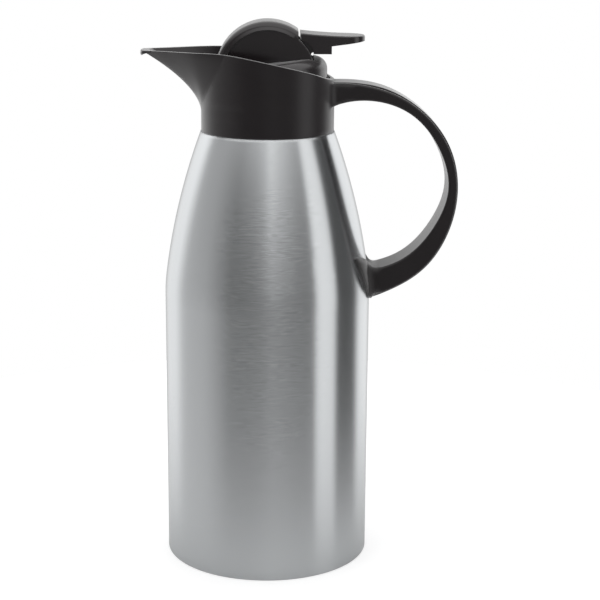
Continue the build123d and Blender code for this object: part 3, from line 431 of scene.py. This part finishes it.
# fine grain of a mould's skin, and a slow cloudiness under it
moulded_skin, given, result = shader_group(
    "moulded_skin", (("Vector", "Vector"), ("Grain", "Float"), ("Cloud", "Float")),
    (("Grit", "Float"), ("Tone", "Float")))
for title, size, detail in (("Grit", "Grain", 2.0), ("Tone", "Cloud", 3.0)):
    noise = add(moulded_skin, "ShaderNodeTexNoise", Detail=detail)
    moulded_skin.links.new(given["Vector"], noise.inputs["Vector"])
    moulded_skin.links.new(math(moulded_skin, "DIVIDE", 1.0, given[size]), noise.inputs["Scale"])
    moulded_skin.links.new(noise.outputs["Fac"], result[title])


def plastic(name, tint, light, rough, grain, cloud, edge_radius, painted_edge_highlight, edge_rough,
            ior, sheen=0.0):
    """A moulded plastic: dark and light of its body, range of its roughness, its rounded edges
    with a painted highlight.
    """
    made, tree, shader = material(name, rough[0])
    shader.inputs["IOR"].default_value = ior
    shader.inputs["Sheen Weight"].default_value = sheen
    shader.inputs["Sheen Roughness"].default_value = SHEEN_ROUGH
    skin = place_group(tree, moulded_skin, vector=own_coordinates(tree), grain=grain, cloud=cloud)
    edge = place_group(tree, rounded_edge, radius=edge_radius)
    body = ramp(tree, skin["Tone"], ((0.35, tint), (0.65, light)))
    # painted highlight: the edge mask lightens the colour along every edge
    tree.links.new(mix(tree, edge["Edge"], body, painted_edge_highlight), shader.inputs["Base Color"])
    grit = ramp(tree, skin["Grit"], ((0.3, rough[0]), (0.7, rough[1])))
    tree.links.new(mix(tree, edge["Edge"], grit, (edge_rough,) * 3), shader.inputs["Roughness"])
    bump(tree, shader, skin["Grit"], strength=0.06, distance=0.0001, normal=edge["Normal"])
    return made


def window(tree, value, bounds, soft):
    """1 where a value is between two bounds, with soft sides outside them."""
    low, high = bounds
    sides = []
    for bound, way in ((low, 1.0), (high, -1.0)):
        side = add(tree, "ShaderNodeMapRange", interpolation_type="SMOOTHSTEP",
                   From_Min=bound - way * soft, From_Max=bound)
        feed(tree, side, value)
        sides.append(side.outputs[0])
    return math(tree, "MULTIPLY", *sides)


black = plastic("black_plastic", *BLACK, **SATIN)
tree = black.node_tree
place = add(tree, "ShaderNodeSeparateXYZ")
feed(tree, place, own_coordinates(tree))
eased = SHARP_R
for bounds_x, bounds_z, radius in EASED:
    there = math(tree, "MULTIPLY", window(tree, place.outputs["X"], bounds_x, EASED_SOFT),
                 window(tree, place.outputs["Z"], bounds_z, EASED_SOFT))
    eased = math(tree, "MULTIPLY_ADD", there, radius, eased)
edges = next(n for n in tree.nodes if n.type == "GROUP" and n.node_tree == rounded_edge)
tree.links.new(eased, edges.inputs["Radius"])
wear(black, "collar_and_handle")
strip_black = plastic("strip_plastic", *BLACK, **SATIN)
wear(strip_black, "handle_cover", "base_cover")

# ------------------------------------------------------------------- spout lip
# The tip of the spout is turned down in a short bead that lets the last drop fall.
# It is moulded with the collar, and runs out into the spout's sides.
RIM_Z = 0.2945
# half of its path in plan, from one side of the spout to the tip
LIP_PATH = ((-0.0650, 0.0102), (-0.0675, 0.0092), (-0.0692, 0.0083), (-0.0700, 0.0070),
            (-0.0704, 0.0053), (-0.0708, 0.0030), (-0.0710, 0.0))
LIP_IN = 0.0003
# half its thickness and half its height, at the ends and at the tip
LIP_HALF = (0.0004, 0.0007)
LIP_DROP = (0.0004, 0.0015)
LIP_SIDES = 16


def between(ends, share):
    """A value some way from one end to the other."""
    return ends[0] + (ends[1] - ends[0]) * share


def bar_faces(rings, sides):
    """Faces of a bar: from each ring of points to the next, and over both ends."""
    faces = []
    for i in range(rings - 1):
        for k in range(sides):
            a, b = sides * i + k, sides * i + (k + 1) % sides
            faces.append((a, a + sides, b + sides, b))
    last = sides * (rings - 1)
    return faces + [tuple(range(sides)), tuple(last + k for k in reversed(range(sides)))]


route = [Vector(spot) for spot in LIP_PATH]
route += [Vector((spot.x, -spot.y)) for spot in reversed(route[:-1])]
points = []
for i, spot in enumerate(route):
    along = (route[min(i + 1, len(route) - 1)] - route[max(i - 1, 0)]).normalized()
    out = Vector((along.y, -along.x))
    full = sin(pi * i / (len(route) - 1))
    half_t, drop = between(LIP_HALF, full), between(LIP_DROP, full)
    for k in range(LIP_SIDES):
        side = 2 * pi * k / LIP_SIDES
        at = spot + out * (half_t * cos(side) - LIP_IN)
        points.append((at.x, at.y, RIM_Z - drop + drop * sin(side)))
lip = shape("spout_lip", points, bar_faces(len(route), LIP_SIDES), black)
lip.data.polygons.foreach_set("use_smooth", [True] * len(lip.data.polygons))
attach(lip, "carafe")

# ---------------------------------------------------------------- collar thread
# Four short ridges moulded in the collar, in which the stopper screws down in a
# third of a turn. The stopper's own ridges run between them.
LEAD = 0.024
THREAD_STARTS = 4
COLLAR_BAND = (0.2678, 0.2768)
COLLAR_BAND_R = 0.03403
COLLAR_CREST_R = 0.03360
RIDGE_W, CREST_W = 0.0022, 0.0010
RIDGE_SINK = 0.0002
RIDGE_STEPS = 36
RIDGE_RUN_OUT = 0.16
RIDGE_CORNERS = 6


def thread(name, body, made, root_r, crest_r, low, high, shift):
    """Helical ridges between two heights, each a closed bar that runs out at its ends."""
    travel = high - low - RIDGE_W
    sink = RIDGE_SINK if root_r > crest_r else -RIDGE_SINK
    points, faces = [], []
    for start in range(THREAD_STARTS):
        first = len(points)
        for i in range(RIDGE_STEPS + 1):
            t = i / RIDGE_STEPS
            angle = 2 * pi * (travel * t / LEAD + (start + shift) / THREAD_STARTS)
            z = low + RIDGE_W / 2 + travel * t
            run_out = min(1.0, t / RIDGE_RUN_OUT, (1 - t) / RIDGE_RUN_OUT)
            full = sin(run_out * pi / 2)
            crest = root_r + (crest_r - root_r) * full
            for r, dz in ((root_r + sink, -RIDGE_W / 2), (root_r, -RIDGE_W / 2),
                          (crest, -CREST_W / 2), (crest, CREST_W / 2),
                          (root_r, RIDGE_W / 2), (root_r + sink, RIDGE_W / 2)):
                points.append((r * cos(angle), r * sin(angle), z + dz))
        for i in range(RIDGE_STEPS):
            for k in range(RIDGE_CORNERS):
                a = first + RIDGE_CORNERS * i + k
                b = first + RIDGE_CORNERS * i + (k + 1) % RIDGE_CORNERS
                faces.append((a, b, b + RIDGE_CORNERS, a + RIDGE_CORNERS))
        faces.append(tuple(first + k for k in range(RIDGE_CORNERS)))
        last = first + RIDGE_CORNERS * RIDGE_STEPS
        faces.append(tuple(last + k for k in reversed(range(RIDGE_CORNERS))))
    ridges = shape(name, points, faces, made)
    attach(ridges, body)


thread("collar_thread", "carafe", black, COLLAR_BAND_R, COLLAR_CREST_R, *COLLAR_BAND, 0.0)

# --------------------------------------------------------------------- stopper
# The plug with its wet chamber, the deck over it, the rounded cover and the dome
# are moulded from the same black polypropylene, a little smoother than the collar.
# The cover and the dome are held by two screws through the deck.
LID_BLACK = (0.0075, 0.0045, 0.0055), (0.0090, 0.0060, 0.0070)
LID_SKIN = SATIN | dict(rough=(0.20, 0.26), ior=1.7, sheen=0.6)
STOPPER_BAND = (0.2686, 0.2772)
STOPPER_BAND_R = 0.03343
STOPPER_CREST_R = 0.03390

lid_black = plastic("lid_plastic", *LID_BLACK, **LID_SKIN)
wear(lid_black, "stopper_body", "stopper_deck", "lid_cover", "dome_cap", "valve_stem",
     "valve_disc")
thread("stopper_thread", "stopper", lid_black, STOPPER_BAND_R, STOPPER_CREST_R, *STOPPER_BAND, 0.5)

# ------------------------------------------------------------------ dome's band
# A band moulded round the crown of the dome. It stands just proud of the cheeks and
# leans in from them, with a small step at its inner edge.
DOME_Z = 0.2817
BAND_FROM, BAND_TO = radians(55.5), radians(175)
BAND_STEPS = 72
CROWN_R, CROWN_HALF = 0.02958, 0.0116
CORNER_R, CORNER_AT = 0.00355, 0.02603
# from the band's inner edge up to its corner: radius, and distance from the middle
BAND_SIDE = ((0.0248, 0.0148), (0.0248, 0.01545), (0.0250, 0.0157), (0.0268, 0.0149))
CORNER_FROM, CORNER_TO = 45, 90
CORNER_STEPS = 6
# how far its underside lies below the crown, and in from the sides
BAND_T, BAND_INSET = 0.0016, 0.001
BAND_CREASE = radians(28)

side = list(BAND_SIDE)
for i in range(CORNER_STEPS + 1):
    turned = radians(CORNER_FROM + (CORNER_TO - CORNER_FROM) * i / CORNER_STEPS)
    side.append((CORNER_AT + CORNER_R * sin(turned), CROWN_HALF + CORNER_R * cos(turned)))
section = [(r, -y) for r, y in side] + [(r, y) for r, y in reversed(side)]
section += [(CROWN_R - BAND_T, CROWN_HALF - BAND_INSET),
            (CROWN_R - BAND_T, BAND_INSET - CROWN_HALF)]
points = []
for i in range(BAND_STEPS + 1):
    angle = BAND_FROM + (BAND_TO - BAND_FROM) * i / BAND_STEPS
    points += [(r * cos(angle), y, DOME_Z + r * sin(angle)) for r, y in section]
band = shape("dome_band", points, bar_faces(BAND_STEPS + 1, len(section)), lid_black)
band.data.polygons.foreach_set("use_smooth", [True] * len(band.data.polygons))
band.data.set_sharp_from_angle(angle=BAND_CREASE)
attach(band, "stopper")

# ---------------------------------------------------------------- thumb lever
# Moulded lever that the thumb presses. It turns on a steel pin through the dome's
# cheeks and lifts the valve's stem with its fork.
wear(lid_black, "thumb_lever")

# -------------------------------------------------------- screws, pin and nut
# Small turned parts of bright stainless steel: the screws of the handle and of the
# cover, the lever's pin and the nut on the valve's stem. The spring's wire is the
# same steel.
BRIGHT_TONES = ((0.30, (0.55, 0.55, 0.56)), (0.70, (0.68, 0.68, 0.69)))
BRIGHT_ROUGH = ((0.30, 0.30), (0.70, 0.18))

bright, tree, shader = material("bright_steel", 0.22, 1.0)
lines = place_group(tree, brushing, vector=own_coordinates(tree), line_length=0.004,
                    line_pitch=0.0002, patchiness=0.2)
colour_by(tree, shader, lines["Tone"], BRIGHT_TONES, BRIGHT_ROUGH)
bump(tree, shader, lines["Height"], strength=0.05, distance=0.0001)
wear(bright, "handle_screw", "cover_screws", "lever_pin", "valve_nut", "valve_spring")

# ---------------------------------------------------------------- valve spring
# Coiled from steel wire, with its end turns wound close. It stands between the stem's
# head and the roof of the dome; it shortens as the head rises, but here it is a rigid coil.
WIRE_R = 0.0006
COIL_R = 0.0051
COIL_FOOT, COIL_TOP = 0.29105, 0.30630
COIL_TURNS = 6
TURN_STEPS = 32
WIRE_SIDES = 10

close_pitch = 2 * WIRE_R
open_pitch = (COIL_TOP - COIL_FOOT - 2 * WIRE_R - 2 * close_pitch) / (COIL_TURNS - 2)
points = []
for i in range(COIL_TURNS * TURN_STEPS + 1):
    turn = i / TURN_STEPS
    angle = 2 * pi * turn
    z = COIL_FOOT + WIRE_R + close_pitch * (min(turn, 1) + max(turn - COIL_TURNS + 1, 0))
    z += open_pitch * min(max(turn - 1, 0), COIL_TURNS - 2)
    for k in range(WIRE_SIDES):
        side = 2 * pi * k / WIRE_SIDES
        r = COIL_R + WIRE_R * cos(side)
        points.append((r * cos(angle), r * sin(angle), z + WIRE_R * sin(side)))
coil = shape("coil_spring", points, bar_faces(COIL_TURNS * TURN_STEPS + 1, WIRE_SIDES), bright)
coil.data.polygons.foreach_set("use_smooth", [len(p.vertices) == 4 for p in coil.data.polygons])
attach(coil, "stopper")
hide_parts("valve_spring")
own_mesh(coil)

# --------------------------------------------------------------------- gaskets
# Neck gasket, lip gasket, stem seal and valve washer, cut or moulded from white
# silicone rubber. It has a matt skin with a faint bloom.
RUBBER = (0.50, 0.50, 0.47), (0.60, 0.60, 0.57)
# the lighter colour along the edges is a painted highlight
RUBBER_SKIN = dict(rough=(0.50, 0.62), grain=0.0004, cloud=0.006, edge_radius=0.0003,
                   painted_edge_highlight=(0.62, 0.62, 0.60), edge_rough=0.45, ior=1.41)

rubber = plastic("silicone", *RUBBER, **RUBBER_SKIN)
wear(rubber, "neck_gasket", "stopper_gasket", "stem_seal", "valve_seal")
